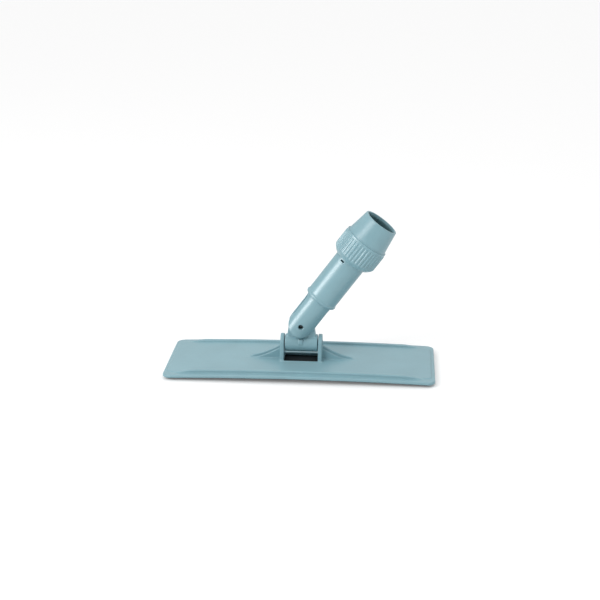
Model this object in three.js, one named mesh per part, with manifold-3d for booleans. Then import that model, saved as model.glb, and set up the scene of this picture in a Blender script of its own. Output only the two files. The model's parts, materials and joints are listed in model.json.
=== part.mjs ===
// Scrub-pad holder: an arched moulded plate with a hook sheet under it, a
// two-axis swivel knuckle, and a socket with a screw collet for a round pole.
//
// Millimetres, +Z up. The origin is under the middle of the plate; z = 0 is the
// hook sheet's underside, carried along the arch to the plate's ends. +X runs
// along the plate's long side, +Y towards one long edge. At rest the socket
// leans towards +X.
//
// Suffixes: _L length, _W width, _R radius, _X _Y _Z place along an axis.
import * as THREE from 'three';
import * as BufferGeometryUtils from 'three/addons/utils/BufferGeometryUtils.js';
import Module from 'manifold-3d';

const wasm = await Module();
wasm.setup();

// --------------------------------------------------------- shared dimensions
const PLATE_L = 235;
const PLATE_W = 95;
const CORNER_R = 7;           // plan radius of the plate's corners
const ARCH = 2.1;             // rise of the middle over the ends

const EAR_OUT = 18.4;         // outer faces of the two ears
const AXLE_Z = 21.2;          // tilt axis height
const AXLE_R = 2.5;
const PIN_Z = 39.3;           // swing axis height
const PIN_R = 1.9;
const PIVOT_CLEARANCE = 0.3;  // bore radius over axle or pin radius
const LEAN_DEG = 36.3;        // lean of the socket at rest

const THREAD_PITCH = 5;
const THREAD_RIDGE_R = 1.0;   // radius of the six-sided ridge section
const THREAD_Z0 = 76;         // thread ends along the socket axis
const THREAD_Z1 = 90;
const KEYWAY_DIR = 238;       // degrees about the socket axis
const KEYWAY_TURN = KEYWAY_DIR - 90; // turns a part lying along +Y to the keyway

const ROUND_SEGMENTS = 48;
const CUTTER_HALF = 30;       // half length of a bore cutter, past every part
const DEG = Math.PI / 180;

// ------------------------------------------------------------------- helpers
function solid(geometry) {
  const loose = geometry.index ? geometry.toNonIndexed() : geometry.clone();
  loose.deleteAttribute('normal');
  loose.deleteAttribute('uv');
  const merged = BufferGeometryUtils.mergeVertices(loose, 1e-4);
  const corners = merged.index.array;
  const triangles = [];
  for (let i = 0; i < corners.length; i += 3) {
    const [a, b, c] = corners.slice(i, i + 3);
    // merging collapses some triangles, such as those on a lathe's axis
    if (a !== b && b !== c && a !== c) triangles.push(a, b, c);
  }
  return new wasm.Manifold(new wasm.Mesh({
    numProp: 3,
    vertProperties: new Float32Array(merged.attributes.position.array),
    triVerts: new Uint32Array(triangles),
  }));
}

function toGeometry(manifold) {
  const mesh = manifold.getMesh();
  const geometry = new THREE.BufferGeometry();
  const positions = new Float32Array(mesh.vertProperties);
  geometry.setAttribute('position', new THREE.BufferAttribute(positions, 3));
  geometry.setIndex(new THREE.BufferAttribute(new Uint32Array(mesh.triVerts), 1));
  geometry.computeVertexNormals();
  return geometry;
}

// [low, high] ranges: centred on zero, or on one side of it (side is 1 or -1)
const centred = (half) => [-half, half];
const onSide = (side, inner, outer) => (side > 0 ? [inner, outer] : [-outer, -inner]);

// box between ranges, then turned about z
function box([x0, x1], [y0, y1], [z0, z1], turnDeg = 0) {
  const geometry = new THREE.BoxGeometry(x1 - x0, y1 - y0, z1 - z0);
  geometry.translate((x0 + x1) / 2, (y0 + y1) / 2, (z0 + z1) / 2);
  geometry.rotateZ(turnDeg * DEG);
  return solid(geometry);
}

// profile of [radius, z] pairs turned about z, closed or ending on the axis
function lathe(profile, segments = ROUND_SEGMENTS) {
  const points = profile.map(([radius, z]) => new THREE.Vector2(radius, z));
  const geometry = new THREE.LatheGeometry(points, segments);
  geometry.rotateX(Math.PI / 2);
  return solid(geometry);
}

const disc = (radius, z0, z1, segments) =>
  lathe([[0, z0], [radius, z0], [radius, z1], [0, z1]], segments);

const shapeOf = (points) => new THREE.Shape(points.map(([u, v]) => new THREE.Vector2(u, v)));

function prism(points, depth) {
  return new THREE.ExtrudeGeometry(shapeOf(points), { depth, bevelEnabled: false });
}

// outline of [x, z] pairs, extruded along y
function slabXZ(points, [y0, y1]) {
  const geometry = prism(points, y1 - y0);
  geometry.rotateX(Math.PI / 2);
  geometry.translate(0, y1, 0);
  return solid(geometry);
}

// outline of [y, z] pairs, extruded along x
function slabYZ(points, [x0, x1]) {
  const geometry = prism(points, x1 - x0);
  geometry.rotateY(Math.PI / 2);
  geometry.rotateX(Math.PI / 2);
  geometry.translate(x0, 0, 0);
  return solid(geometry);
}

// outline of [x, y] pairs, extruded along z
function slabXY(points, [z0, z1]) {
  const geometry = prism(points, z1 - z0);
  geometry.translate(0, 0, z0);
  return solid(geometry);
}

// rods along x or y, centred over the origin at height z
function rodX(radius, half, z, segments) {
  const geometry = new THREE.CylinderGeometry(radius, radius, 2 * half, segments);
  geometry.rotateZ(Math.PI / 2);
  geometry.translate(0, 0, z);
  return solid(geometry);
}

function rodY(radius, half, z, segments) {
  const geometry = new THREE.CylinderGeometry(radius, radius, 2 * half, segments);
  geometry.translate(0, 0, z);
  return solid(geometry);
}

const axleBore = () => rodX(AXLE_R + PIVOT_CLEARANCE, CUTTER_HALF, AXLE_Z, 28);
const pinBore = (z) => rodY(PIN_R + PIVOT_CLEARANCE, CUTTER_HALF, z, 24);

// upper half circle about [0, z], carried dipDeg below level at both ends
function archOver(radius, z, dipDeg) {
  const steps = 12;
  const points = [];
  for (let i = 0; i <= steps; i++) {
    const angle = (-dipDeg + (180 + 2 * dipDeg) * i / steps) * DEG;
    points.push([radius * Math.cos(angle), z + radius * Math.sin(angle)]);
  }
  return points;
}

// slab with a rounded rectangular plan, tall enough to trim plate or sheet
function planTrim(length, width, radius, steps) {
  const points = [];
  const corners = [[1, 1, 0], [-1, 1, 90], [-1, -1, 180], [1, -1, 270]]; // x, y sign, start
  for (const [signX, signY, startDeg] of corners) {
    for (let i = 0; i <= steps; i++) {
      const angle = (startDeg + 90 * i / steps) * DEG;
      points.push([
        signX * (length / 2 - radius) + radius * Math.cos(angle),
        signY * (width / 2 - radius) + radius * Math.sin(angle),
      ]);
    }
  }
  return slabXY(points, [-5, 40]);
}

// x of the arch's samples; straight between them, level across the middle
const STATIONS = [
  -117.5, -106, -92, -79, -66, -53, -40, -27, -14,
  14, 27, 40, 53, 66, 79, 92, 106, 117.5,
];

function rise(x) {
  const archAt = (station) => ARCH * (1 - (2 * station / PLATE_L) ** 2);
  const next = STATIONS.findIndex((station, i) => i > 0 && x <= station);
  const from = STATIONS[next - 1];
  const to = STATIONS[next];
  return archAt(from) + (archAt(to) - archAt(from)) * (x - from) / (to - from);
}

// [x, z] outline that follows the arch, from height low up to topAt(x)
function archBand(half, low, topAt) {
  const inside = STATIONS.filter((station) => Math.abs(station) < half - 0.01);
  const xs = [-half, ...inside, half];
  const bottom = xs.map((x) => [x, low + rise(x)]);
  const top = xs.map((x) => [x, topAt(x) + rise(x)]).reverse();
  return [...bottom, ...top];
}

class ThreadPath extends THREE.Curve {
  constructor(radius, z0, z1, phase) {
    super();
    Object.assign(this, { radius, z0, z1, phase });
  }

  getPoint(share, target = new THREE.Vector3()) {
    const z = this.z0 + (this.z1 - this.z0) * share;
    const angle = this.phase + 2 * Math.PI * z / THREAD_PITCH;
    return target.set(this.radius * Math.cos(angle), this.radius * Math.sin(angle), z);
  }
}

function thread(radius, z0, z1, phase) {
  const sides = 6;
  const section = [];
  for (let i = 0; i < sides; i++) {
    const angle = 2 * Math.PI * i / sides;
    section.push([THREAD_RIDGE_R * Math.cos(angle), THREAD_RIDGE_R * Math.sin(angle)]);
  }
  return solid(new THREE.ExtrudeGeometry(shapeOf(section), {
    steps: Math.round(24 * (z1 - z0) / THREAD_PITCH),
    extrudePath: new ThreadPath(radius, z0, z1, phase),
    bevelEnabled: false,
  }));
}

// ---------------------------------------------------------------- base plate
const PLATE_Z0 = 2.5;         // underside at the ends, before the arch's rise
const FLANGE_Z = 4.4;         // top of the thin rim outside the beads
const FIELD_Z = 5.2;          // top of the plate between the beads
const FIELD_INSET = 3;        // field's ends inside the plate's ends
const BEAD_Z = 7.2;           // top of the stiffening beads
const BEAD_Y0 = 36.9;         // inner foot of a bead
const BEAD_Y1 = 41.5;         // outer foot of a bead
const BEAD_END = 106;         // half length of a bead
const BEAD_TAPER = 14;        // length of its tapered ends
const BEAD_TIP = 0.08;        // share of the bead's height left at its tips
const OVERLAP = 0.5;          // field and beads start this far inside the plate

const WINDOW_X = 15;          // half length of the opening under the barrel
const WINDOW_Y = 11;          // half width of that opening
const LIP_Y = 12.6;           // half width of the raised lip round it
const LIP_Z = 7.75;
const EAR_IN = 15;            // inner faces of the two ears
const EAR_R = 8.2;            // round top of an ear about the axle

// gusset's concave upper edge on the +X side: x, z
const GUSSET = [
  [18.2, 17.7], [21.5, 15.5], [25, 13.7], [28.6, 12.2],
  [33, 10.5], [37.5, 9.2], [42, 8.1], [46.5, 7.2],
];
const GUSSET_FOOT_Z = 5.6;
const CREST_RISE = 2.0;       // crest over the gusset's edge

function beadTop(x) {
  const share = Math.max(BEAD_TIP, Math.min(1, (BEAD_END - Math.abs(x)) / BEAD_TAPER));
  return FLANGE_Z + (BEAD_Z - FLANGE_Z) * share;
}

// wide web and narrow crest, running down from the ear on one side
function gusset(side) {
  const start = [GUSSET[0][0], GUSSET_FOOT_Z];
  const web = [start, ...GUSSET, [47.5, GUSSET_FOOT_Z]];
  const crestEdge = GUSSET.slice(0, 7).map(([x, z]) => [x, z + CREST_RISE]);
  const crest = [start, ...crestEdge, [44.5, 6.2], [44.5, GUSSET_FOOT_Z]];
  const placed = (points) => points.map(([x, z]) => [side * x, z]);
  return slabXZ(placed(web), centred(3.5)).add(slabXZ(placed(crest), centred(0.75)));
}

function buildPlate() {
  const innerZ = PLATE_Z0 + OVERLAP;
  const base = archBand(PLATE_L / 2, PLATE_Z0, () => FLANGE_Z);
  const field = archBand(PLATE_L / 2 - FIELD_INSET, innerZ, () => FIELD_Z);
  const bead = archBand(BEAD_END, innerZ, beadTop);
  const ear = [
    [-11.6, 4.6], [11.6, 4.6], [11.2, 8.4],
    ...archOver(EAR_R, AXLE_Z, 8),
    [-11.2, 8.4],
  ];

  let plate = slabXZ(base, centred(PLATE_W / 2))
    .intersect(planTrim(PLATE_L, PLATE_W, CORNER_R, 5))
    .add(slabXZ(field, centred(BEAD_Y0 + 1)));
  for (const side of [-1, 1]) {
    plate = plate
      .add(slabXZ(bead, onSide(side, BEAD_Y0, BEAD_Y1)))
      .add(slabYZ(ear, onSide(side, EAR_IN, EAR_OUT)))
      .add(gusset(side));
  }
  return plate
    .add(box(centred(EAR_OUT), centred(LIP_Y), [5, LIP_Z]))
    .subtract(box(centred(WINDOW_X), centred(WINDOW_Y), [0, LIP_Z + 0.15]))
    .subtract(axleBore());
}

// ---------------------------------------------------------------- hook sheet
const SHEET_T = 2.4;          // thickness
const SHEET_INSET = 2.5;      // sheet edge inside the plate edge

function buildSheet() {
  const length = PLATE_L - 2 * SHEET_INSET;
  const width = PLATE_W - 2 * SHEET_INSET;
  return slabXZ(archBand(length / 2, 0, () => SHEET_T), centred(PLATE_W / 2))
    .intersect(planTrim(length, width, CORNER_R - 1.5, 4));
}

// ---------------------------------------------------------- axle and knuckle
const AXLE_RECESS = 0.4;      // axle's ends inside the ears' outer faces
const BARREL_R = 7.7;
const BARREL_HALF = 13.8;
const TONGUE_Y = 4.15;        // half thickness of the tongue
const TONGUE_R = 11;          // round head of the tongue about the pin

const buildAxle = () => rodX(AXLE_R, EAR_OUT - AXLE_RECESS, AXLE_Z, 24);

function buildKnuckle() {
  // tongue's +X flank, from the barrel up to the round head: x, z
  const flank = [
    [13.2, AXLE_Z + 2], [13.2, AXLE_Z + 6.6], [12.0, AXLE_Z + 10], [11.3, PIN_Z - 4.5],
  ];
  const mirrored = flank.map(([x, z]) => [-x, z]).reverse();
  const tongue = [...flank, ...archOver(TONGUE_R, PIN_Z, 4), ...mirrored];
  // narrow rib across the barrel, standing out on both sides
  const rib = box(centred(1.1), centred(8.15), [AXLE_Z + 0.5, AXLE_Z + 5.2]);
  return rodX(BARREL_R, BARREL_HALF, AXLE_Z, 36)
    .add(slabXZ(tongue, centred(TONGUE_Y)))
    .add(rib)
    .subtract(axleBore())
    .subtract(pinBore(PIN_Z));
}

// ---------------------------------------------------------- yoke and its pin
// From here on +z runs up the socket axis and z = 0 is the swing axis.
const YOKE_R = 12.3;
const YOKE_END_Z = 1.7;       // centre of the yoke's rounded end
const YOKE_END_R = 12.4;
const SLOT_Y = 4.5;           // half width of the yoke's slot
const SLOT_END = 26;
const YOKE_TOP = 27.4;
const SPIGOT_R = 12.0;
const SPIGOT_TOP = 46;
const CORE_R = 9.2;           // hollow in the spigot, open at the top
const CORE_BOT = 30;
const PIN_HALF = 8.8;

function buildYoke() {
  const roundedEnd = rodY(YOKE_END_R, 20, YOKE_END_Z, 56)
    .add(box(centred(20), centred(20), [YOKE_END_Z, 60]));
  return lathe([
    [0, -14], [YOKE_R, -14], [YOKE_R, YOKE_TOP], [SPIGOT_R, YOKE_TOP],
    [SPIGOT_R, SPIGOT_TOP - 1], [SPIGOT_R - 1, SPIGOT_TOP], [0, SPIGOT_TOP],
  ])
    .intersect(roundedEnd)
    .subtract(box(centred(20), centred(SLOT_Y), [-20, SLOT_END]))
    .subtract(pinBore(0))
    .subtract(disc(CORE_R, CORE_BOT, 60, 32));
}

const buildPin = () => rodY(PIN_R, PIN_HALF, 0, 24);

// --------------------------------------------------------------- socket tube
const TUBE_BOT = 27.7;
const TUBE_TOP = 92.5;
const TUBE_R = 14.1;
const TUBE_BORE_R = 12.35;
const TUBE_BEAD_R = 15.0;     // bead round the tube's lower end
const SEAT_Z = 88.5;          // start of the tube's conical seat
const SEAT_R = 13.5;          // seat radius at the tube's top
const KEYWAY_W = 4.0;
const KEYWAY_BOT = 69.3;

function buildTube() {
  // one cutter makes both keyways, for the collet's lugs
  const keyways = box(centred(KEYWAY_W / 2), centred(20), [KEYWAY_BOT, 100], KEYWAY_TURN);
  return lathe([
    [TUBE_BORE_R, TUBE_BOT], [TUBE_R + 0.3, TUBE_BOT], [TUBE_BEAD_R, TUBE_BOT + 0.7],
    [TUBE_BEAD_R, TUBE_BOT + 1.9], [TUBE_R, TUBE_BOT + 3], [TUBE_R, TUBE_TOP - 0.6],
    [TUBE_R - 0.3, TUBE_TOP], [SEAT_R, TUBE_TOP], [TUBE_BORE_R, SEAT_Z],
    [TUBE_BORE_R, TUBE_BOT],
  ])
    .add(thread(TUBE_R, THREAD_Z0, THREAD_Z1, 0))
    .subtract(keyways);
}

// -------------------------------------------------------------------- collet
const COLLET_BORE_R = 12.3;
const COLLET_BOT = 90.6;
const COLLET_TOP = 113.6;
const LUG_W = 3.2;
const LUG_Z = [82.5, 92.9];
const LUG_FLAT = 12.5;        // flat inner face of a lug
const LUG_IN_R = 12.45;
const LUG_OUT_R = 13.7;
const SPLIT_W = 2.2;
const RELIEF_W = 1.6;
const RELIEF_BOT = 97.5;
const RELIEF_DEGS = [45, 135, 225, 315, 270]; // from the keyway direction

function slit(fromKeywayDeg, width, bottom) {
  return box(centred(width / 2), [5, 25], [bottom, bottom + 60], KEYWAY_TURN + fromKeywayDeg);
}

function buildCollet() {
  let collet = lathe([
    [COLLET_BORE_R, COLLET_BOT], [12.75, COLLET_BOT], [13.2, 92.6], [13.5, 93.0],
    [13.5, 94.9], [16.0, 94.9], [16.0, 96.6], [14.9, 101.5], [13.6, 111.2],
    [13.5, COLLET_TOP], [COLLET_BORE_R + 0.35, COLLET_TOP],
    [COLLET_BORE_R, COLLET_TOP - 1], [COLLET_BORE_R, COLLET_BOT],
  ]);
  const lugRing = lathe([
    [LUG_IN_R, 80], [LUG_OUT_R, 80], [LUG_OUT_R, 95], [LUG_IN_R, 95], [LUG_IN_R, 80],
  ]);
  for (const side of [1, -1]) {
    const reach = onSide(side, LUG_FLAT, LUG_OUT_R);
    collet = collet.add(box(centred(LUG_W / 2), reach, LUG_Z, KEYWAY_TURN).intersect(lugRing));
  }
  // the full-height split that lets it close, then the shorter relief slots
  collet = collet.subtract(slit(90, SPLIT_W, 60));
  for (const deg of RELIEF_DEGS) collet = collet.subtract(slit(deg, RELIEF_W, RELIEF_BOT));
  return collet;
}

// --------------------------------------------------------------- locking nut
const NUT_BOT = 72.4;
const NUT_TOP = 115.3;
const NUT_BORE_R = 15.4;
const RIB_COUNT = 40;
const RIB_Z0 = 77.0;
const RIB_Z1 = 92.8;
const RIB_R = 20.35;
const RIB_ROOT_R = 19.75;
const RING_TOP = 94.8;        // top of the plain ring above the ribs
const CONE_R0 = 18.9;         // outer cone, bottom and top
const CONE_R1 = 15.6;
const MOUTH_R = 13.85;
const LEDGE_Z0 = 93.0;        // inward ledge above the thread
const LEDGE_Z1 = 94.6;
const LEDGE_R = 14.1;
// one rib of the grip: share of the rib pitch, radius
const RIB_STEPS = [[0, RIB_ROOT_R], [0.30, RIB_ROOT_R], [0.45, RIB_R], [0.85, RIB_R]];

function gripRibs() {
  const outline = [];
  for (let i = 0; i < RIB_COUNT; i++) {
    for (const [share, radius] of RIB_STEPS) {
      const angle = 2 * Math.PI * (i + share) / RIB_COUNT;
      outline.push([radius * Math.cos(angle), radius * Math.sin(angle)]);
    }
  }
  return slabXY(outline, [RIB_Z0, RIB_Z1]).subtract(disc(NUT_BORE_R + 1.5, 60, 120));
}

function buildNut() {
  return lathe([
    [NUT_BORE_R, NUT_BOT], [16.1, NUT_BOT], [16.9, NUT_BOT + 0.7], [18.5, 74.7],
    [19.4, 75.9], [RIB_ROOT_R, RIB_Z0 - 0.1], [RIB_ROOT_R, RING_TOP], [CONE_R0, RING_TOP],
    [CONE_R1, NUT_TOP - 0.4], [CONE_R1 - 0.4, NUT_TOP], [MOUTH_R, NUT_TOP],
    [MOUTH_R, NUT_TOP - 3], [16.6, 98.5], [16.6, LEDGE_Z1], [LEDGE_R, LEDGE_Z1],
    [LEDGE_R, LEDGE_Z0], [NUT_BORE_R, LEDGE_Z0], [NUT_BORE_R, NUT_BOT],
  ], 60)
    .add(thread(NUT_BORE_R, THREAD_Z0 + 1, THREAD_Z1 - 1, Math.PI))
    .add(gripRibs());
}

// ------------------------------------------------------------------ assembly
const PLASTIC = { color: 0x97bcc8, roughness: 0.38, metalness: 0 };
const STEEL = { color: 0xb9bcbe, roughness: 0.3, metalness: 1 };
const HOOKS = { color: 0x26292b, roughness: 0.85, metalness: 0 };

function part(name, manifold, look) {
  const mesh = new THREE.Mesh(toGeometry(manifold), new THREE.MeshStandardMaterial(look));
  mesh.name = name;
  return mesh;
}

const socket = new THREE.Group();
socket.position.set(0, 0, PIN_Z);
socket.rotation.y = LEAN_DEG * DEG;
socket.add(
  part('yoke', buildYoke(), PLASTIC),
  part('swing_pin', buildPin(), STEEL),
  part('socket_tube', buildTube(), PLASTIC),
  part('collet', buildCollet(), PLASTIC),
  part('locking_nut', buildNut(), PLASTIC),
);

const padHolder = new THREE.Group();
padHolder.add(
  part('base_plate', buildPlate(), PLASTIC),
  part('hook_sheet', buildSheet(), HOOKS),
  part('tilt_axle', buildAxle(), STEEL),
  part('knuckle', buildKnuckle(), PLASTIC),
  socket,
);

export default padHolder;
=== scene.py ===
"""A pole holder: an arched base plate on a hook sheet, a knuckle, a socket with a collet, and a nut.

The plate lies along X, centred on the origin, with its hooks just above z = 0. The knuckle tilts
on an axle along X and the socket swings on a pin along Y. The camera looks from -Y, the front.
Shapes are worked out in millimetres; lights and camera are in metres.
"""

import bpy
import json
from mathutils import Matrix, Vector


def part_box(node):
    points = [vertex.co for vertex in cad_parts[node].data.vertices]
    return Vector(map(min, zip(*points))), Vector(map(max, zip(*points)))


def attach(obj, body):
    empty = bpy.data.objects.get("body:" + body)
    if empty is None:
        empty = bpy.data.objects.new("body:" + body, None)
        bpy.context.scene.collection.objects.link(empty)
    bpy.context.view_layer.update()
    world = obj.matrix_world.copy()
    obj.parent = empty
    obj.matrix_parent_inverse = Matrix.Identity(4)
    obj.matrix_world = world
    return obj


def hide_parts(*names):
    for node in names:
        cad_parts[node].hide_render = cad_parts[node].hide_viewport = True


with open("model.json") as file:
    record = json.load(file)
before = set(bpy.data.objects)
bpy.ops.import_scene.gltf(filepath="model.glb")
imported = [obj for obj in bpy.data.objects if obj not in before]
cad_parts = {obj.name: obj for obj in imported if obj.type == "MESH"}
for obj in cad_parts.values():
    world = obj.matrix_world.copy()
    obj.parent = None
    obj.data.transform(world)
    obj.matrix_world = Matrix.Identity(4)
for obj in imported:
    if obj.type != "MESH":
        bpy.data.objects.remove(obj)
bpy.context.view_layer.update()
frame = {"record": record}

import json
import math
import bpy
import bmesh
import numpy as np
import openvdb
from mathutils import Vector, Matrix

MM = 0.001


def cad_size(piece, axis):
    low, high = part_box(piece)
    return (high[axis] - low[axis]) / MM


# ---------------------------------------------------------- driving dimensions
JOINTS = {j["name"]: j for j in frame["record"]["behaviour"]["joints"]}
AXLE_Z = JOINTS["base_tilt"]["pos_m"][2] / MM
PIN_Z = JOINTS["socket_swing"]["pos_m"][2] / MM

# The socket's own frame: z along its axis, origin at the swing pin.
SOCKET_AXIS = np.array(JOINTS["nut_turn"]["axis"], float)
SOCKET_AXIS /= np.linalg.norm(SOCKET_AXIS)
SOCKET_X = np.array([SOCKET_AXIS[2], 0.0, -SOCKET_AXIS[0]])
SOCKET_FRAME = np.stack([SOCKET_X, np.array([0.0, 1.0, 0.0]), SOCKET_AXIS], 1)
SOCKET_ORIGIN = np.array([0.0, 0.0, PIN_Z])

PLATE_L, PLATE_W = cad_size("base_plate", 0), cad_size("base_plate", 1)
PLATE_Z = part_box("base_plate")[0][2] / MM                 # underside at the plate's ends
ARCH_RISE = 2.1
SHEET_L, SHEET_W = cad_size("hook_sheet", 0), cad_size("hook_sheet", 1)
THREAD_PITCH = 5.0                                        # shared by socket and nut


def arch(x):
    return ARCH_RISE * (1.0 - (2.0 * x / PLATE_L) ** 2)


def above_arch(x, z):
    """Height measured from the plate's arched line."""
    return z - arch(np.clip(x, -PLATE_L / 2, PLATE_L / 2))


# ------------------------------------------------------------- distance fields
# A field is negative inside its shape. `blend` is the width over which two shapes melt together.
def smin(a, b, blend):
    h = np.maximum(blend - np.abs(a - b), 0.0) / blend
    return np.minimum(a, b) - h * h * h * blend * (1.0 / 6.0)


def smax(a, b, blend):
    return -smin(-a, -b, blend)


def cut(body, tool, blend):
    return smax(body, -tool, blend)


def away(a, b):
    return np.sqrt(a * a + b * b)


def smoothstep(t):
    return t * t * (3.0 - 2.0 * t)


def slab(v, centre, half):
    return np.abs(v - centre) - half


def between(v, low, high):
    return slab(v, (low + high) / 2, (high - low) / 2)


def extrude(outline, past_ends, edge):
    """Outline distance joined with the distance past the end faces; edges rounded."""
    a, b = outline + edge, past_ends + edge
    return np.minimum(np.maximum(a, b), 0.0) + away(np.maximum(a, 0.0), np.maximum(b, 0.0)) - edge


def rectangle(x, y, half_x, half_y, corner):
    return extrude(np.abs(x) - half_x, np.abs(y) - half_y, corner)


def tapered(x, z, low_z, low_r, high_z, high_r):
    """Outline drawn tight round two circles on the z axis."""
    height = high_z - low_z
    px, pz = np.abs(x), z - low_z
    sine = (low_r - high_r) / height
    cosine = math.sqrt(1.0 - sine * sine)
    along = -sine * px + cosine * pz
    return np.where(along < 0.0, away(px, pz) - low_r,
                    np.where(along > cosine * height, away(px, pz - height) - high_r,
                             px * cosine + pz * sine - low_r))


def polygon(r, z, corners):
    """Signed distance to a closed profile of (radius, height) corners."""
    corners = np.array(corners, float)
    nearest = np.full(r.shape, 1e9)
    sign = np.ones(r.shape)
    for i in range(len(corners)):
        a, b = corners[i], corners[i - 1]
        side = b - a
        wr, wz = r - a[0], z - a[1]
        h = np.clip((wr * side[0] + wz * side[1]) / max(side @ side, 1e-12), 0.0, 1.0)
        nearest = np.minimum(nearest, (wr - side[0] * h) ** 2 + (wz - side[1] * h) ** 2)
        c1, c2, c3 = z >= a[1], z < b[1], side[0] * wz > side[1] * wr
        crossed = (c1 & c2 & c3) | (~c1 & ~c2 & ~c3)
        sign = np.where(crossed, -sign, sign)
    return sign * np.sqrt(nearest)


# ---------------------------------------------------------------- mesh building
def project(field, points, steps=6, reach=0.02, longest=0.3):
    """Moves points onto field = 0 along its gradient, no step longer than `longest`."""
    for _ in range(steps):
        value = field(*points.T)
        gradient = np.stack([field(*(points + s).T) - field(*(points - s).T)
                             for s in np.eye(3) * reach], 1) / (2 * reach)
        steepness = np.maximum((gradient * gradient).sum(1), 0.05)
        step = (value / steepness)[:, None] * gradient
        length = np.sqrt((step * step).sum(1))
        step *= np.minimum(1.0, longest / np.maximum(length, 1e-9))[:, None]
        points = points - step
    return points


def outward(points, quads):
    """Turns all the quads over if together they enclose a negative volume."""
    a, b, c, d = (points[quads[:, k]] for k in range(4))
    volume = (np.cross(b, c) * a).sum() + (np.cross(c, d) * a).sum()
    return quads[:, ::-1] if volume < 0 else quads


def from_field(field, low, high, cell):
    """Closed quad mesh of field < 0 inside a box."""
    low, high = np.array(low, float), np.array(high, float)
    count = np.ceil((high - low) / cell).astype(int) + 1
    xs, ys, zs = (low[i] + cell * np.arange(count[i]) for i in range(3))
    values = np.empty(count, np.float32)
    batch = 48                                            # slices at a time, to save memory
    for start in range(0, count[0], batch):
        part = slice(start, start + batch)
        values[part] = field(*np.meshgrid(xs[part], ys, zs, indexing="ij"))
    grid = openvdb.FloatGrid(3.0)
    grid.copyFromArray(np.clip(values / cell, -3, 3))
    points, quads = grid.convertToQuads(0.0)
    points = project(field, low + cell * np.asarray(points, float))
    return points, outward(points, np.asarray(quads, np.int64))


def from_socket(points):
    return points @ SOCKET_FRAME.T + SOCKET_ORIGIN


def link(name, mesh):
    o = bpy.data.objects.new(name, mesh)
    bpy.context.scene.collection.objects.link(o)
    return o


def add_mesh(name, points, *face_groups):
    """Smooth object from points and arrays of faces, each array with its own face size."""
    mesh = bpy.data.meshes.new(name)
    mesh.vertices.add(len(points))
    mesh.vertices.foreach_set("co", (points * MM).astype(np.float32).ravel())
    corners = np.concatenate([g.ravel() for g in face_groups]).astype(np.int32)
    sizes = np.concatenate([np.full(len(g), g.shape[1]) for g in face_groups])
    starts = np.concatenate([[0], np.cumsum(sizes)[:-1]]).astype(np.int32)
    mesh.loops.add(len(corners))
    mesh.loops.foreach_set("vertex_index", corners)
    mesh.polygons.add(len(sizes))
    mesh.polygons.foreach_set("loop_start", starts)
    mesh.update(calc_edges=True)
    mesh.validate()
    mesh.polygons.foreach_set("use_smooth", np.full(len(mesh.polygons), True))
    return link(name, mesh)


def add_bmesh(name, points, faces, flat_faces=()):
    """Object from points in metres; smooth faces first, then flat ones, all turned outward."""
    bm = bmesh.new()
    verts = [bm.verts.new(v) for v in points]
    for group, smooth in ((faces, True), (flat_faces, False)):
        for face in group:
            bm.faces.new([verts[int(i)] for i in face]).smooth = smooth
    bmesh.ops.recalc_face_normals(bm, faces=bm.faces)
    mesh = bpy.data.meshes.new(name)
    bm.to_mesh(mesh)
    bm.free()
    return link(name, mesh)


# ------------------------------------------------------------------ base plate
FLANGE_TOP = PLATE_Z + 1.9
FIELD_TOP = PLATE_Z + 2.7                                 # raised middle of the plate
BEAD_TOP = PLATE_Z + 4.7
BEAD_Y0, BEAD_Y1 = 37.2, 41.5
BEAD_FALL_X, BEAD_FALL_RUN, BEAD_END = 88.0, 22.0, 111.0
BURIED = 0.3                                              # how far upper layers start above the underside
ROOT_Z = 3.2                                              # where ears and gussets start
EAR_IN, EAR_OUT, EAR_R = 15.0, 18.4, 8.2
EAR_FOOT_Z, EAR_FOOT_R = 4.0, 11.9
AXLE_HOLE_R = 2.62
GUSSET_X0, GUSSET_X1, GUSSET_HALF = 16.5, 49.0, 3.4
GUSSET_LOW_X, GUSSET_RUN = 47.5, 29.3                     # where its curved top starts to rise
GUSSET_Z, GUSSET_RISE, GUSSET_POWER = 6.6, 11.1, 1.6
CREST_END, CREST_RAMP, CREST_RISE, CREST_HALF = 48.5, 6.5, 2.1, 0.75
GROOVE_Y, GROOVE_HALF, GROOVE_DEPTH, GROOVE_END = 1.55, 0.75, 1.6, 46.0
SKIRT_TOP, SKIRT_DROP, SKIRT_THICK = 3.2, 0.7, 1.7


def slab_and_beads(ax, ay, above, outline):
    base = extrude(outline, between(above, PLATE_Z, FLANGE_TOP), edge=0.75)
    middle = extrude(rectangle(ax, ay, PLATE_L / 2 - 3.2, BEAD_Y0 + 1.5, corner=5.0),
                     between(above, PLATE_Z + BURIED, FIELD_TOP), edge=0.35)
    base = smin(base, middle, blend=1.6)
    # stiffening beads, their ends falling away
    bead = extrude(between(ay, BEAD_Y0, BEAD_Y1),
                   between(above, PLATE_Z + BURIED, BEAD_TOP), edge=0.95)
    fall = np.clip((ax - BEAD_FALL_X) / BEAD_FALL_RUN, 0.0, 1.3) ** 1.6 * 3.0
    bead = smax(bead, above - (BEAD_TOP - fall), blend=1.0)
    bead = smax(bead, ax - BEAD_END, blend=1.0)
    return smin(base, bead, blend=0.9)


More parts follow.
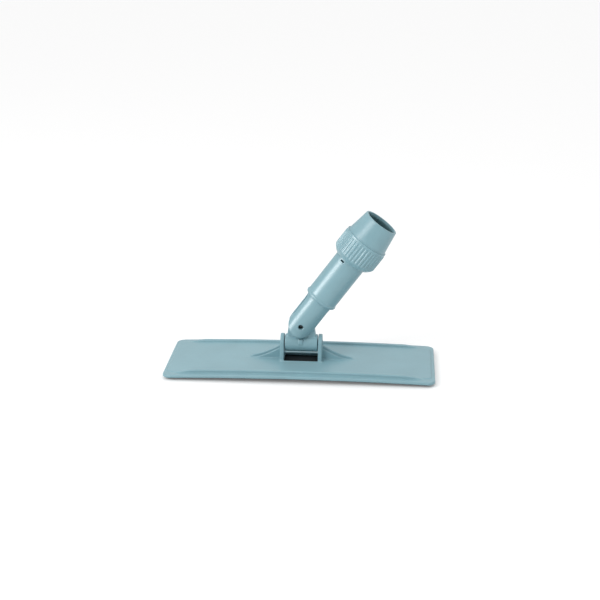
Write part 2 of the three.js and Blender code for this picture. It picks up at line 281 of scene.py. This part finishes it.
def gusset(ax, ay, z, above):
    """Concave rib outside each ear, with a narrow crest between two grooves."""
    u = np.clip((GUSSET_LOW_X - ax) / GUSSET_RUN, 0.0, 1.6)
    top = GUSSET_Z + GUSSET_RISE * u ** GUSSET_POWER
    slope = GUSSET_RISE * GUSSET_POWER * u ** (GUSSET_POWER - 1.0) / GUSSET_RUN
    lean = 1.0 / np.sqrt(1.0 + slope * slope)             # turns heights into distances
    limits = np.maximum(ROOT_Z - above, GUSSET_X0 - ax)
    rib = extrude((z - top) * lean, ay - GUSSET_HALF, edge=0.35)
    rib = np.maximum(rib, np.maximum(limits, ax - GUSSET_X1))
    ramp = np.clip((CREST_END - ax) / CREST_RAMP, 0.0, 1.0)
    crest = extrude((z - top - CREST_RISE * smoothstep(ramp)) * lean, ay - CREST_HALF, edge=0.35)
    crest = np.maximum(crest, np.maximum(limits, ax - CREST_END))
    groove = extrude(slab(ay, GROOVE_Y, GROOVE_HALF), (top - GROOVE_DEPTH * ramp - z) * lean,
                     edge=0.0)
    groove = np.maximum(groove, ax - GROOVE_END)
    return np.minimum(cut(rib, groove, blend=0.25), crest)


def plate_field(x, y, z):
    ax, ay = np.abs(x), np.abs(y)
    above = above_arch(x, z)
    outline = rectangle(x, y, PLATE_L / 2, PLATE_W / 2, corner=7.0)
    body = slab_and_beads(ax, ay, above, outline)
    ear = extrude(tapered(y, z, EAR_FOOT_Z, EAR_FOOT_R, AXLE_Z, EAR_R),
                  between(ax, EAR_IN, EAR_OUT), edge=0.55)
    ear = np.maximum(ear, ROOT_Z - above)
    ear = smin(ear, gusset(ax, ay, z, above), blend=1.6)
    # raised lip round the ears' feet
    lip = extrude(rectangle(x, y, EAR_OUT + 0.1, 12.7, corner=2.6), slab(above, 4.6, 1.15),
                  edge=0.35)
    body = smin(body, lip, blend=1.1)
    body = smin(body, ear, blend=1.5)
    # opening under the barrel, a wider relief below it, and the axle's holes
    window = extrude(rectangle(x, y, 15.0, 11.0, corner=0.6), slab(z, 5.0, 4.2), edge=0.1)
    body = cut(body, window, blend=0.45)
    relief = extrude(rectangle(x, y, 16.6, 12.9, corner=1.2), z - 6.25, edge=0.3)
    body = cut(body, relief, blend=0.3)
    body = cut(body, away(y, z - AXLE_Z) - AXLE_HOLE_R, blend=0.4)
    body = np.maximum(body, PLATE_Z - above)
    # thin skirt round the rim, reaching below the underside
    skirt = extrude(np.maximum(outline, -outline - SKIRT_THICK),
                    between(above, PLATE_Z - SKIRT_DROP, SKIRT_TOP), edge=0.3)
    return smin(body, skirt, blend=0.3)


def make_plate():
    half_x, half_y = PLATE_L / 2 + 1.5, PLATE_W / 2 + 1.5
    return add_mesh("holder_plate", *from_field(
        plate_field, (-half_x, -half_y, PLATE_Z - 2.2), (half_x, half_y, AXLE_Z + EAR_R + 1.5),
        cell=0.73))


# --------------------------------------------------------------------- knuckle
BARREL_R, BARREL_HALF, BARREL_BORE_R = 7.7, 14.35, 2.75
TONGUE_HALF, TONGUE_FOOT_R, TONGUE_TOP_R = 4.15, 12.9, 10.9
KNUCKLE_PIN_HOLE_R = 2.15


def knuckle_field(x, y, z):
    ax, ay = np.abs(x), np.abs(y)
    from_axle = away(y, z - AXLE_Z)
    barrel = extrude(from_axle - BARREL_R, ax - BARREL_HALF, edge=0.6)
    tongue = extrude(tapered(x, z, AXLE_Z + 4.0, TONGUE_FOOT_R, PIN_Z, TONGUE_TOP_R),
                     ay - TONGUE_HALF, edge=0.9)
    tongue = np.maximum(tongue, AXLE_Z - 2.0 - z)
    tongue = smax(tongue, ax - BARREL_HALF, blend=1.0)
    body = smin(barrel, tongue, blend=1.1)
    # short cross rib where the tongue meets the barrel
    rib = extrude(rectangle(x + 0.25, y, 1.75, 8.3, corner=0.5), slab(z, AXLE_Z + 2.8, 2.4),
                  edge=0.4)
    body = smin(body, rib, blend=0.5)
    body = cut(body, from_axle - BARREL_BORE_R, blend=0.4)
    return cut(body, away(x, z - PIN_Z) - KNUCKLE_PIN_HOLE_R, blend=0.35)


def make_knuckle():
    return add_mesh("swivel_knuckle", *from_field(
        knuckle_field, (-15.5, -10, AXLE_Z - 9.2), (15.5, 10, PIN_Z + 12.5),
        cell=0.42))


# ------------------------------------------------------------------------ yoke
# From here to the nut, coordinates are in the socket's own frame.
YOKE_R, YOKE_MID, YOKE_HALF = 12.3, 7.0, 20.4
YOKE_END_Z, YOKE_END_R = 1.7, 12.25                       # rounding of the end about the y direction
SPIGOT_R, SPIGOT_MID, SPIGOT_HALF = 12.0, 36.0, 10.0      # the part inside the tube
SLOT_END_Z, SLOT_HALF = 21.5, 4.5                         # gap that takes the knuckle's tongue
YOKE_PIN_HOLE_R = 2.2
CORE_R, CORE_Z = 9.2, 30.0                                # hollow upper end


def yoke_field(x, y, z):
    r = away(x, y)
    shank = extrude(r - YOKE_R, slab(z, YOKE_MID, YOKE_HALF), edge=0.3)
    end = np.where(z < YOKE_END_Z, away(x, z - YOKE_END_Z), np.abs(x)) - YOKE_END_R
    body = smax(shank, end, blend=1.5)
    spigot = extrude(r - SPIGOT_R, slab(z, SPIGOT_MID, SPIGOT_HALF), edge=0.8)
    body = np.minimum(body, spigot)
    body = cut(body, away(np.maximum(z - SLOT_END_Z, 0.0), y) - SLOT_HALF, blend=0.4)
    body = cut(body, away(x, z) - YOKE_PIN_HOLE_R, blend=0.4)
    return cut(body, extrude(r - CORE_R, CORE_Z - z, edge=0.5), blend=0.4)


def make_socket_piece(name, field, low, high, cell):
    points, quads = from_field(field, low, high, cell)
    return add_mesh(name, from_socket(points), quads)


# ----------------------------------------------------------------- socket tube
KEY_DIR = math.radians(238.0)                             # direction of the keyway round the axis
KEY_X, KEY_Y = math.cos(KEY_DIR), math.sin(KEY_DIR)
TUBE_R, BORE_R, TUBE_BOTTOM, TUBE_TOP = 14.1, 12.35, 27.7, 92.5
TUBE_PROFILE = [  # radius, height
    (BORE_R, TUBE_BOTTOM), (TUBE_R, TUBE_BOTTOM), (TUBE_R, TUBE_TOP), (13.55, TUBE_TOP),
    (BORE_R, 88.6)]
RIM_R, RIM_RISE, RIM_FLAT, RIM_ROUND = 13.4, 1.5, 0.15, 1.4
RIDGE_R, RIDGE_MID, RIDGE_HALF = 1.0, 83.0, 7.0           # outer thread


def across_key(x, y):
    return -x * KEY_Y + y * KEY_X


def tube_field(x, y, z):
    r = away(x, y)
    wall = polygon(r, z, TUBE_PROFILE)
    rim = away(r - RIM_R, np.maximum(slab(z, TUBE_BOTTOM + RIM_RISE, RIM_FLAT), 0.0)) - RIM_ROUND
    body = smin(wall, np.maximum(rim, BORE_R - r), blend=1.0)
    turns = z / THREAD_PITCH - np.arctan2(y, x) / (2 * math.pi)
    from_ridge = (turns - np.round(turns)) * THREAD_PITCH
    ridge = away(r - TUBE_R, from_ridge) - RIDGE_R
    ridge = smax(ridge, slab(z, RIDGE_MID, RIDGE_HALF), blend=0.6)
    body = smin(body, ridge, blend=0.5)
    # keyway open at the top, and a small slot below it, under the nut's rim
    side = across_key(x, y)
    key = rectangle(side, np.minimum(z - 80.4, 0.0), 2.0, 2.0, corner=0.8)
    key = np.minimum(key, rectangle(side, z - 69.95, 1.85, 0.65, corner=0.4))
    return cut(body, key, blend=0.35)


# ---------------------------------------------------------------------- collet
COLLET_PROFILE = [  # radius, height
    (12.3, 90.7), (12.72, 90.7), (13.15, 92.6), (13.45, 93.1), (13.45, 94.95), (15.95, 94.95),
    (15.95, 96.6), (14.85, 101.5), (13.6, 111.2), (13.5, 113.5), (12.65, 113.5), (12.3, 112.7)]
COLLET_SLITS = [  # degrees from the direction across the key, half width, lower end
    (180, 1.1, 60.0), (45, 0.8, 97.5), (135, 0.8, 97.5), (225, 0.8, 97.5), (315, 0.8, 97.5),
    (0, 0.8, 97.5)]


def collet_field(x, y, z):
    r = away(x, y)
    body = polygon(r, z, COLLET_PROFILE)
    along = x * KEY_X + y * KEY_Y
    side = across_key(x, y)
    # lug in the tube's keyway, and its mirror across the axis
    lug = rectangle(side, z - 88.0, 1.55, 5.5, corner=0.4)
    lug = smax(lug, slab(r, 13.05, 0.6), blend=0.2)
    body = smin(body, lug, blend=0.3)
    for degrees, half_width, lower_end in COLLET_SLITS:
        c, s = math.cos(math.radians(degrees)), math.sin(math.radians(degrees))
        outwards = side * c + along * s
        sideways = -side * s + along * c
        slit = np.maximum(np.maximum(np.abs(sideways) - half_width, -outwards), lower_end - z)
        body = cut(body, slit, blend=0.25)
    return body


# ----------------------------------------------------------------- locking nut
RIBS = 40
RIB_HEIGHT = 0.60
STEPS_PER_RIB = 14
NUT_PROFILE = [  # radius, height, fillet, share of the ribs
    (15.4, 72.4, 0.2, 0), (16.1, 72.4, 0.35, 0), (16.9, 73.1, 0.8, 0), (18.5, 74.7, 1.6, 0),
    (19.45, 76.0, 1.2, 0.15), (19.75, 77.3, 0.6, 0.8), (19.75, 78.2, 0.3, 1.0),
    (19.75, 82.0, 0, 1.0), (19.75, 86.0, 0, 1.0), (19.75, 91.0, 0, 1.0), (19.75, 92.0, 0.0, 0.9),
    (19.78, 92.9, 0.2, 0.1), (19.95, 93.2, 0.2, 0), (19.95, 94.8, 0.4, 0), (18.9, 94.8, 0.3, 0),
    (18.0, 100.0, 0, 0), (17.0, 106.2, 0, 0), (16.1, 112.0, 0, 0), (15.62, 115.3, 0.45, 0),
    (13.9, 115.3, 0.3, 0), (13.85, 112.3, 0.4, 0), (16.6, 98.5, 0.5, 0), (16.6, 94.6, 0.3, 0),
    (14.1, 94.6, 0.2, 0), (14.1, 93.0, 0.2, 0), (15.4, 93.0, 0.2, 0), (15.4, 84, 0, 0),
    (15.4, 76, 0, 0)]
NUT_THREAD_R, NUT_RIDGE_R = 15.45, 0.95
NUT_THREAD_Z0, NUT_THREAD_Z1, NUT_THREAD_FADE = 77.2, 88.8, 1.2
NUT_THREAD_STATIONS, NUT_THREAD_SIDES = 170, 10


def rib_wave(angle):
    """Radius added by the ribs: flat crests with smooth grooves between."""
    u = (angle * RIBS / (2 * math.pi) - 0.15) % 1.0
    # 0 on a rib's flat crest, 1 in the groove
    groove = np.clip((np.abs(u - 0.5) * 2.0 - 0.34) / 0.36, 0, 1)
    return RIB_HEIGHT * (1.0 - smoothstep(groove))


def round_corners(profile, steps):
    """Closed (radius, height, share) profile with each filleted corner turned into a curve."""
    count = len(profile)
    out = []
    for i, (_, _, fillet, share) in enumerate(profile):
        before, corner, after = (np.array(profile[(i + k) % count][:2], float) for k in (-1, 0, 1))
        a, b = before - corner, after - corner
        length_a, length_b = np.linalg.norm(a), np.linalg.norm(b)
        a, b = a / length_a, b / length_b
        angle = math.acos(max(-1.0, min(1.0, float(a @ b))))
        if fillet <= 0 or angle > math.pi - 0.02:
            out.append((corner[0], corner[1], share))
            continue
        trim = min(fillet / math.tan(angle / 2), 0.45 * length_a, 0.45 * length_b)
        start, end = corner + a * trim, corner + b * trim
        for k in range(steps + 1):
            u = k / steps
            point = (1 - u) ** 2 * start + 2 * u * (1 - u) * corner + u ** 2 * end
            out.append((point[0], point[1], share))
    return out


def divide_spans(profile, longest):
    out = []
    for i, a in enumerate(profile):
        b = profile[(i + 1) % len(profile)]
        parts = max(1, int(math.hypot(b[0] - a[0], b[1] - a[1]) / longest))
        for k in range(parts):
            u = k / parts
            out.append(tuple(a[j] * (1 - u) + b[j] * u for j in range(3)))
    return out


def make_nut():
    profile = np.array(divide_spans(round_corners(NUT_PROFILE, steps=6), longest=1.2))
    n, k = RIBS * STEPS_PER_RIB, len(profile)
    angle = np.arange(n) * 2 * math.pi / n
    r = profile[None, :, 0] + rib_wave(angle)[:, None] * profile[None, :, 2]
    points = np.stack([r * np.cos(angle)[:, None], r * np.sin(angle)[:, None],
                       np.broadcast_to(profile[None, :, 1], r.shape)], 2).reshape(-1, 3)
    i, j = np.arange(n)[:, None], np.arange(k)[None, :]
    i1, j1 = (i + 1) % n, (j + 1) % k
    quads = np.stack([i * k + j, i1 * k + j, i1 * k + j1, i * k + j1], 2).reshape(-1, 4)
    return add_mesh("ribbed_nut", from_socket(points), outward(points, quads))


def make_nut_thread():
    """One round-crested ridge, tapered at both ends."""
    n, k = NUT_THREAD_STATIONS, NUT_THREAD_SIDES
    height = np.linspace(NUT_THREAD_Z0, NUT_THREAD_Z1, n)
    angle = math.pi + 2 * math.pi * height / THREAD_PITCH
    section = np.arange(k) * 2 * math.pi / k
    to_end = np.minimum(height - NUT_THREAD_Z0, NUT_THREAD_Z1 - height)
    taper = np.clip(to_end / NUT_THREAD_FADE, 0.15, 1.0)
    r = NUT_THREAD_R + NUT_RIDGE_R * taper[:, None] * np.cos(section)[None, :]
    z = height[:, None] + NUT_RIDGE_R * taper[:, None] * np.sin(section)[None, :]
    points = np.stack([r * np.cos(angle)[:, None], r * np.sin(angle)[:, None], z], 2)
    i, j = np.arange(n - 1)[:, None], np.arange(k)[None, :]
    j1 = (j + 1) % k
    quads = np.stack([i * k + j, i * k + j1, (i + 1) * k + j1, (i + 1) * k + j], 2)
    caps = [range(k)[::-1], range((n - 1) * k, n * k)]
    return add_bmesh("nut_thread", from_socket(points.reshape(-1, 3)) * MM,
                     quads.reshape(-1, 4), flat_faces=caps)


# ------------------------------------------------------------------ steel pins
PIN_END = [(0.55, 0.0), (0.42, 0.06), (0.08, 0.42), (0.0, 0.55)]  # inset, distance from the end
PIN_SPANS, PIN_SIDES = 12, 48


def make_pin(name, radius, length, centre_z, axis):
    half = length / 2
    end = [(0.0, -half)] + [(radius - inset, -half + rise) for inset, rise in PIN_END]
    chamfer = PIN_END[-1][1]
    straight = [(radius, -half + chamfer + (2 * half - 2 * chamfer) * k / PIN_SPANS)
                for k in range(1, PIN_SPANS)]
    along = Vector(axis).normalized()
    side = Vector((0, 0, 1)).cross(along).normalized()
    side2 = along.cross(side)
    points, rings = [], []
    for r, t in end + straight + [(r, -t) for r, t in end[::-1]]:
        middle = Vector((0, 0, centre_z)) + along * t
        sides = 1 if r == 0.0 else PIN_SIDES
        rings.append(range(len(points), len(points) + sides))
        for s in range(sides):
            turn = 2 * math.pi * s / PIN_SIDES
            points.append((middle + (side * math.cos(turn) + side2 * math.sin(turn)) * r) * MM)
    faces = []
    for a, b in zip(rings, rings[1:]):
        for s in range(PIN_SIDES):
            s1 = (s + 1) % PIN_SIDES
            if len(a) == 1:
                faces.append((a[0], b[s1], b[s]))
            elif len(b) == 1:
                faces.append((a[s], a[s1], b[0]))
            else:
                faces.append((a[s], a[s1], b[s1], b[s]))
    return add_bmesh(name, points, faces)


# ------------------------------------------------------------------ hook sheet
BACKING_MID, BACKING_HALF = 1.48, 0.92                    # heights from the arched line
PITCH = 2.35
HOOK_SIDES = 5
HOOK_STATIONS = np.array([  # x, z, radius: from the root down, along, and up to the tip
    (0.0, 0.72, 0.36), (0.0, 0.42, 0.25), (0.14, 0.23, 0.21), (0.40, 0.19, 0.19),
    (0.62, 0.28, 0.16), (0.66, 0.46, 0.08)])


def sheet_field(x, y, z):
    return extrude(rectangle(x, y, SHEET_L / 2, SHEET_W / 2, corner=5.5),
                   slab(above_arch(x, z), BACKING_MID, BACKING_HALF), edge=0.22)


def make_backing():
    half_x, half_y = SHEET_L / 2 + 2, SHEET_W / 2 + 2
    return add_mesh("hook_backing", *from_field(
        sheet_field, (-half_x, -half_y, 0), (half_x, half_y, 5.5), cell=1.0))


def one_hook():
    """Points and side quads of a single hook at the origin."""
    line = HOOK_STATIONS[:, :2]
    tangent = np.gradient(line, axis=0)
    tangent /= np.linalg.norm(tangent, axis=1)[:, None]
    normal = np.stack([-tangent[:, 1], tangent[:, 0]], 1)
    points = []
    for centre, n, r in zip(line, normal, HOOK_STATIONS[:, 2]):
        for a in np.arange(HOOK_SIDES) * 2 * math.pi / HOOK_SIDES:
            points.append((centre[0] + n[0] * r * math.cos(a), r * math.sin(a),
                           centre[1] + n[1] * r * math.cos(a)))
    quads = []
    for k in range(0, (len(line) - 1) * HOOK_SIDES, HOOK_SIDES):
        for s in range(HOOK_SIDES):
            s1 = (s + 1) % HOOK_SIDES
            quads.append([k + s, k + s1, k + HOOK_SIDES + s1, k + HOOK_SIDES + s])
    return np.array(points), np.array(quads)


def hook_places():
    """Staggered rows of hooks inside the sheet's rounded outline."""
    nx, ny = int((SHEET_L - 6) / PITCH), int((SHEET_W - 6) / PITCH)
    x, y = np.meshgrid((np.arange(nx) - (nx - 1) / 2) * PITCH,
                       (np.arange(ny) - (ny - 1) / 2) * PITCH, indexing="ij")
    x = x + (np.arange(ny)[None, :] % 2) * PITCH * 0.5 - PITCH * 0.25
    x, y = x.ravel(), y.ravel()
    keep = rectangle(x, y, SHEET_L / 2 - 1.6, SHEET_W / 2 - 1.6, corner=4.5) < -0.6
    return x[keep], y[keep]


def make_hooks():
    hook, quads = one_hook()
    x, y = hook_places()
    count, size = len(x), len(hook)
    rng = np.random.default_rng(7)
    facing = np.where(rng.random(count) < 0.5, -1.0, 1.0)[:, None]
    twist = rng.normal(0, 0.22, count)[:, None]
    hx, hy = hook[:, 0][None] * facing, hook[:, 1][None] * facing
    points = np.stack([x[:, None] + hx * np.cos(twist) - hy * np.sin(twist),
                       y[:, None] + hx * np.sin(twist) + hy * np.cos(twist),
                       hook[:, 2][None] + arch(x)[:, None]], 2).reshape(-1, 3)

    def repeat(faces):
        return (faces[None] + (np.arange(count) * size)[:, None, None]).reshape(
            -1, faces.shape[1])

    root = np.arange(HOOK_SIDES)[None]
    tip = root + size - HOOK_SIDES
    hooks = add_mesh("hook_field", points, repeat(quads), repeat(root)[:, ::-1], repeat(tip))
    bm = bmesh.new()
    bm.from_mesh(hooks.data)
    bmesh.ops.recalc_face_normals(bm, faces=bm.faces)
    bm.to_mesh(hooks.data)
    bm.free()
    return hooks


# ---------------------------------------------------------------------- pieces
base_plate = make_plate()
knuckle = make_knuckle()
yoke = make_socket_piece("swivel_yoke", yoke_field, (-14, -14, -13), (14, 14, 47.5),
                         cell=0.46)
socket_tube = make_socket_piece("pole_socket", tube_field, (-16.5, -16.5, TUBE_BOTTOM - 1.2),
                                (16.5, 16.5, TUBE_TOP + 1.2), cell=0.45)
collet = make_socket_piece("pole_collet", collet_field, (-17, -17, 81.5), (17, 17, 114.7),
                           cell=0.42)
locking_nut = make_nut()
nut_thread = make_nut_thread()
tilt_axle = make_pin("tilt_axle_pin", radius=2.5, length=cad_size("tilt_axle", 0),
                     centre_z=AXLE_Z, axis=(1, 0, 0))
swing_pin = make_pin("swing_pin_pin", radius=1.95, length=cad_size("swing_pin", 1),
                     centre_z=PIN_Z, axis=(0, 1, 0))
hook_backing = make_backing()
hooks = make_hooks()


# ---------------------------------------------------------------- node helpers
def new_material(name):
    material = bpy.data.materials.new(name)
    material.use_nodes = True
    tree = material.node_tree
    return material, tree, tree.nodes["Principled BSDF"]


def feed(tree, node, inputs):
    """Links the inputs that are given a socket and sets the others to their values."""
    for key, value in inputs.items():
        if isinstance(value, bpy.types.NodeSocket):
            tree.links.new(value, node.inputs[key])
        else:
            node.inputs[key].default_value = value


def add(tree, kind, inputs=None, **properties):
    node = tree.nodes.new("ShaderNode" + kind)
    for key, value in properties.items():
        setattr(node, key, value)
    feed(tree, node, inputs or {})
    return node.outputs


def calc(tree, operation, *values):
    return add(tree, "Math", dict(enumerate(values)), operation=operation)[0]


def noise(tree, vector, scale, detail, distortion=0.0):
    return add(tree, "TexNoise", {"Vector": vector, "Scale": scale, "Detail": detail,
                                  "Distortion": distortion})["Fac"]


def map_range(tree, value, from_min=0.0, from_max=1.0, to_min=0.0, to_max=1.0, kind="LINEAR"):
    return add(tree, "MapRange", {"Value": value, "From Min": from_min, "From Max": from_max,
                                  "To Min": to_min, "To Max": to_max},
               interpolation_type=kind)["Result"]


def color_ramp(tree, factor, dark, light, start=0.0, end=1.0):
    outputs = add(tree, "ValToRGB", {"Fac": factor})
    elements = outputs["Color"].node.color_ramp.elements
    for element, place, color in zip(elements, (start, end), (dark, light)):
        element.position = place
        element.color = (*color, 1)
    return outputs["Color"]


def bump(tree, height, strength, distance, normal=None):
    inputs = {"Height": height, "Strength": strength, "Distance": distance}
    if normal:
        inputs["Normal"] = normal
    return add(tree, "Bump", inputs)["Normal"]


# ------------------------------------------------------------------- materials
def moulded(name, color, rough, grain=0.35, spec=0.5):
    """Satin plastic: faint mottling, fine mould texture, rubbed edges, hairline scuffs."""
    material, tree, bsdf = new_material(name)
    place = add(tree, "TexCoord")["Object"]
    mottled = color_ramp(tree, noise(tree, place, scale=38.0, detail=3.0),
                         dark=[c * 0.955 for c in color],
                         light=[min(1, c * 1.04) for c in color], start=0.3, end=0.7)
    edges = map_range(tree, add(tree, "NewGeometry")["Pointiness"],
                      from_min=0.53, from_max=0.64, to_max=0.45)
    wear = calc(tree, "MULTIPLY", edges, noise(tree, place, scale=160.0, detail=4.0))
    rubbed = [min(1, c * gain + 0.05) for c, gain in zip(color, (1.45, 1.28, 1.24))]
    # 6 and 7 are the mix node's two colour inputs, 2 its colour output
    base = add(tree, "Mix", {"Factor": wear, 6: mottled, 7: (*rubbed, 1)}, data_type="RGBA")[2]
    stretched = add(tree, "Mapping", {"Vector": place, "Scale": (0.6, 2.2, 1.5),
                                      "Rotation": (0.0, 0.0, 0.4)})["Vector"]
    scuffs = noise(tree, stretched, scale=220.0, detail=6.0, distortion=0.6)
    fine = bump(tree, noise(tree, place, scale=2600.0, detail=2.0),
                strength=grain, distance=0.00003)
    feed(tree, bsdf, {
        "Base Color": base,
        "Roughness": map_range(tree, scuffs, from_min=0.3, from_max=0.75,
                               to_min=rough - 0.02, to_max=rough + 0.03),
        "Normal": bump(tree, noise(tree, place, scale=240.0, detail=3.0),
                       strength=0.25, distance=0.00012, normal=fine),
        "Specular IOR Level": spec,
        "Subsurface Weight": 0.06,
        "Subsurface Radius": (0.0016, 0.0022, 0.0026),
        "Subsurface Scale": 1.0})
    return material


def steel(name):
    """Dark steel with drawn-out streaks; the darkness is partly painted shade for the swing pin's deep
    recess.
    """
    material, tree, bsdf = new_material(name)
    stretched = add(tree, "Mapping", {"Vector": add(tree, "TexCoord")["Object"],
                                      "Scale": (4.0, 4.0, 0.3)})["Vector"]
    streaks = noise(tree, stretched, scale=900.0, detail=5.0)
    feed(tree, bsdf, {
        "Roughness": map_range(tree, streaks, to_min=0.22, to_max=0.42),
        # Base colour near black: partly dark steel, partly painted shade for the recessed pin ends.
        "Base Color": color_ramp(tree, streaks, dark=(0.022, 0.026, 0.030),
                                 light=(0.105, 0.115, 0.120)),
        "Metallic": 1.0,
        "Normal": bump(tree, streaks, strength=0.3, distance=0.00002)})
    return material


def nylon(name, color, rough, spec):
    """Uneven nylon with a cellular surface."""
    material, tree, bsdf = new_material(name)
    place = add(tree, "TexCoord")["Object"]
    patches = noise(tree, place, scale=420.0, detail=4.0)
    cells = add(tree, "TexVoronoi", {"Vector": place, "Scale": 900.0})["Distance"]
    feed(tree, bsdf, {
        "Base Color": color_ramp(tree, patches, dark=[c * 0.6 for c in color],
                                 light=[c * 1.6 for c in color]),
        "Roughness": map_range(tree, patches, to_min=rough - 0.12, to_max=rough + 0.12),
        "Normal": bump(tree, cells, strength=0.5, distance=0.00012),
        "Specular IOR Level": spec})
    return material


plastic = moulded("satin_plastic", color=(0.236, 0.408, 0.462), rough=0.31)
# The collet gets the shell's teal made about three times darker: painted shade for where it sits down
# inside the nut's mouth.
collet_plastic_shaded = moulded("collet_plastic", color=(0.065, 0.150, 0.170), rough=0.5, grain=0.5, spec=0.3)
pin_steel = steel("pin_steel")
# Backing near black: partly the nylon's own dark colour, partly painted shade for the opening under the
# barrel, which shows only this backing.
backing = nylon("hook_backing_painted_shade", color=(0.009, 0.015, 0.018), rough=0.8, spec=0.12)
# Hooks of the same sheet made far lighter than the backing: painted light, so they show on the dimly lit
# underside.
hook_nylon_painted_light = nylon("hook_nylon", color=(0.085, 0.105, 0.110), rough=0.45, spec=0.4)

for o, material, body, node, slot in [
        (base_plate, plastic, "base", "base_plate", "moulded_plastic"),
        (knuckle, plastic, "swivel", "knuckle", "moulded_plastic"),
        (yoke, plastic, "socket", "yoke", "moulded_plastic"),
        (socket_tube, plastic, "socket", "socket_tube", "moulded_plastic"),
        (collet, collet_plastic_shaded, "grip", "collet", "collet_plastic"),
        (locking_nut, plastic, "nut", "locking_nut", "moulded_plastic"),
        (nut_thread, plastic, "nut", "locking_nut", "moulded_plastic"),
        (tilt_axle, pin_steel, "base", "tilt_axle", "pin_steel"),
        (swing_pin, pin_steel, "socket", "swing_pin", "pin_steel"),
        (hook_backing, backing, "base", "hook_sheet", "hook_nylon"),
        (hooks, hook_nylon_painted_light, "base", "hook_sheet", "hook_nylon")]:
    o.data.materials.append(material)
    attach(o, body)
    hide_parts(node)


# ------------------------------------------------------------- floor and world
def floor_paper():
    """White paper, left out when seen from underneath and open to stray light under the plate."""
    material, tree, bsdf = new_material("floor_paper")
    ray = add(tree, "LightPath")
    feed(tree, bsdf, {
        "Base Color": (0.92, 0.92, 0.92, 1),
        "Roughness": 0.9,
        "Specular IOR Level": 0.1,
        "Emission Color": (1, 1, 1, 1),
        "Emission Strength": calc(tree, "MULTIPLY", ray["Is Camera Ray"], 0.14)})
    geometry = add(tree, "NewGeometry")
    spot = add(tree, "SeparateXYZ", {0: geometry["Position"]})
    margin = 4.0
    inside = calc(tree, "MULTIPLY", *[
        calc(tree, "LESS_THAN", calc(tree, "ABSOLUTE", spot[axis]), (size / 2 - margin) * MM)
        for axis, size in (("X", PLATE_L), ("Y", PLATE_W))])
    stray = calc(tree, "MULTIPLY", inside, ray["Is Diffuse Ray"])
    is_open = calc(tree, "MAXIMUM", geometry["Backfacing"], stray)
    surface = add(tree, "MixShader", {"Fac": is_open, 1: bsdf.outputs["BSDF"],
                                      2: add(tree, "BsdfTransparent")["BSDF"]})["Shader"]
    feed(tree, tree.nodes["Material Output"], {"Surface": surface})
    return material


def studio_world():
    """Paler overhead and behind, darker in front, and white to the camera."""
    world = bpy.data.worlds.new("studio_world")
    bpy.context.scene.world = world
    world.use_nodes = True
    tree = world.node_tree
    way = add(tree, "SeparateXYZ", {0: add(tree, "TexCoord")["Generated"]})
    overhead = map_range(tree, way["Z"], from_min=0.05, from_max=0.85, to_max=0.62,
                         kind="SMOOTHSTEP")
    behind = map_range(tree, way["Y"], from_min=-0.3, from_max=0.9, to_max=0.22,
                       kind="SMOOTHSTEP")
    ambient = 0.34
    light = calc(tree, "ADD", calc(tree, "ADD", overhead, behind), ambient)
    strength = calc(tree, "MAXIMUM", light, add(tree, "LightPath")["Is Camera Ray"])
    feed(tree, tree.nodes["Background"], {"Color": (1, 1, 1, 1), "Strength": strength})


bpy.ops.mesh.primitive_plane_add(size=16.0, location=(0, 0, -0.0002))
floor = bpy.context.object
floor.name = "studio_floor"
floor.data.materials.append(floor_paper())
studio_world()


# ---------------------------------------------------------------------- lights
def area_light(name, location, target, size, power, height=None, diffuse=True):
    light = bpy.data.lights.new(name, "AREA")
    light.energy = power
    light.size = size
    if height:
        light.shape = "RECTANGLE"
        light.size_y = height
    o = link(name, light)
    o.location = location
    o.rotation_euler = (Vector(target) - Vector(location)).to_track_quat("-Z", "Y").to_euler()
    o.visible_diffuse = diffuse
    o.visible_camera = False
    return o


# The strip only draws the long highlight down the socket.
strip = area_light("strip_softbox", location=(-0.96, -0.44, 0.37), target=(0.03, 0, 0.08),
                   size=0.50, height=0.60, power=11.5, diffuse=False)
lit = bpy.data.collections.new("strip_light_on")
for o in (yoke, socket_tube, locking_nut, collet, knuckle, swing_pin):
    lit.objects.link(o)
strip.light_linking.receiver_collection = lit
area_light("key_softbox", location=(-0.75, -0.85, 0.75), target=(0, 0, 0.03), size=0.6, power=6.5)


# ---------------------------------------------------------------------- camera
def add_camera(azimuth, elevation, roll, distance, target, lens):
    """Camera looking at a target; angles in degrees, azimuth from -Y towards +X, lens in mm."""
    az, el, turn = (math.radians(a) for a in (azimuth, elevation, roll))
    back = Vector((math.sin(az) * math.cos(el), -math.cos(az) * math.cos(el), math.sin(el)))
    level = (-back).cross(Vector((0, 0, 1))).normalized()
    upright = level.cross(-back)
    right = level * math.cos(turn) + upright * math.sin(turn)
    up = -level * math.sin(turn) + upright * math.cos(turn)
    camera = bpy.data.cameras.new("camera")
    camera.sensor_width = 36.0
    camera.lens = lens
    camera.clip_start = 0.01
    camera.clip_end = 20
    o = link("camera", camera)
    rotation = Matrix((right, up, back)).transposed()
    o.matrix_world = Matrix.Translation(Vector(target) + back * distance) @ rotation.to_4x4()
    bpy.context.scene.camera = o


add_camera(azimuth=3.987, elevation=17.553, roll=0.27, distance=1.2429,
           target=(-0.001574, 0.0, 0.060518), lens=85.1952)

view = bpy.context.scene.view_settings
view.view_transform = "Standard"
view.look = "None"
view.exposure = 0.0

bpy.context.view_layer.update()
